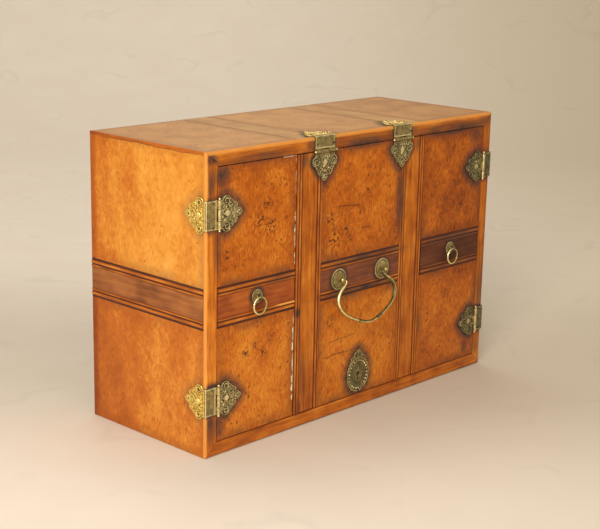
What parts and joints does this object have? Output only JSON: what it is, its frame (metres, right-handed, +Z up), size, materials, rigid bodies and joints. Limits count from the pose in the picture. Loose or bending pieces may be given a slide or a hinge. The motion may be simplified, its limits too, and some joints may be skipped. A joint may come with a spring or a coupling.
{
  "type": "table box",
  "caption": "Veneered table box with a hinged door at each side and a lifting centre flap, brass hinges, bail handle, ring pulls and a lock.",
  "frame": {"origin": "centre of the case's flat underside", "axes": "+X to the right as seen from the front, the front faces -Y, +Z up"},
  "size_m": [0.404, 0.1732, 0.275],
  "materials": {
    "burr_veneer": "waxed burr veneer, satin",
    "straight_veneer": "waxed straight-grained veneer, satin",
    "waist_veneer": "waxed dark veneer, satin",
    "dark_stringing": "ebonised stringing",
    "carcase_wood": "bare aged softwood",
    "aged_brass": "cast and engraved, tarnished",
    "lock_iron": "forged, filed and oiled"
  },
  "bodies": {
    "carcase": {"back_board": "carcase_wood", "back_nails": "lock_iron", "bottom_board": "carcase_wood", "top_board": "carcase_wood", "left_side_board": "carcase_wood", "right_side_board": "carcase_wood", "left_partition": "carcase_wood", "right_partition": "carcase_wood", "left_shelf": "carcase_wood", "right_shelf": "carcase_wood", "lipping_left": "straight_veneer", "lipping_right": "straight_veneer", "lipping_bottom": "straight_veneer", "lipping_top": "straight_veneer", "side_burr_panels": "burr_veneer", "side_waist_bands": "waist_veneer", "side_beads": "straight_veneer", "top_burr_panels": "burr_veneer", "top_cross_bands": "straight_veneer", "case_dark_lines": "dark_stringing", "left_corner_plates": "aged_brass", "right_corner_plates": "aged_brass", "flap_corner_plates": "aged_brass", "hinge_pins": "aged_brass", "case_nails": "aged_brass", "strike_plate": "aged_brass"},
    "left_door": {"left_door_board": "carcase_wood", "left_door_burr_panels": "burr_veneer", "left_door_waist_band": "waist_veneer", "left_door_beads": "straight_veneer", "left_door_dark_lines": "dark_stringing", "left_door_hinge_leaves": "aged_brass", "left_door_nails": "aged_brass", "left_ring_eye": "aged_brass"},
    "right_door": {"right_door_board": "carcase_wood", "right_door_burr_panels": "burr_veneer", "right_door_waist_band": "waist_veneer", "right_door_beads": "straight_veneer", "right_door_dark_lines": "dark_stringing", "right_door_hinge_leaves": "aged_brass", "right_door_nails": "aged_brass", "right_ring_eye": "aged_brass"},
    "centre_flap": {"flap_board": "carcase_wood", "flap_burr_panels": "burr_veneer", "flap_stiles": "straight_veneer", "flap_waist_band": "waist_veneer", "flap_beads": "straight_veneer", "flap_dark_lines": "dark_stringing", "flap_hinge_leaves": "aged_brass", "flap_nails": "aged_brass", "escutcheon": "aged_brass", "handle_rosettes": "aged_brass", "handle_posts": "aged_brass", "lock_plate": "lock_iron", "lock_cap": "lock_iron", "lock_spring": "lock_iron"},
    "left_ring": {"left_pull_ring": "aged_brass"},
    "right_ring": {"right_pull_ring": "aged_brass"},
    "bail": {"bail_handle": "aged_brass"},
    "bolt": {"lock_bolt": "lock_iron"}
  },
  "joints": [
    {"name": "left_door_hinge", "type": "hinge", "parent": "carcase", "child": "left_door", "pos_m": [-0.18665, -0.0805, 0.13525], "axis": [0, 0, -1], "range_deg": [0, 175]},
    {"name": "right_door_hinge", "type": "hinge", "parent": "carcase", "child": "right_door", "pos_m": [0.18665, -0.0805, 0.13525], "axis": [0, 0, 1], "range_deg": [0, 175]},
    {"name": "centre_flap_hinge", "type": "hinge", "parent": "carcase", "child": "centre_flap", "pos_m": [0, -0.0805, 0.25965], "axis": [-1, 0, 0], "range_deg": [0, 175]},
    {"name": "bail_swing", "type": "hinge", "parent": "centre_flap", "child": "bail", "pos_m": [0, -0.0839, 0.1346], "axis": [-1, 0, 0], "range_deg": [-14, 140]},
    {"name": "left_ring_swing", "type": "hinge", "parent": "left_door", "child": "left_ring", "pos_m": [-0.1387, -0.08245, 0.1376], "axis": [-1, 0, 0], "range_deg": [-7, 150]},
    {"name": "right_ring_swing", "type": "hinge", "parent": "right_door", "child": "right_ring", "pos_m": [0.1387, -0.08245, 0.1376], "axis": [-1, 0, 0], "range_deg": [-7, 150]},
    {"name": "lock_bolt_slide", "type": "slide", "parent": "centre_flap", "child": "bolt", "axis": [0, 0, -1], "range_m": [0, 0.006]}
  ]
}
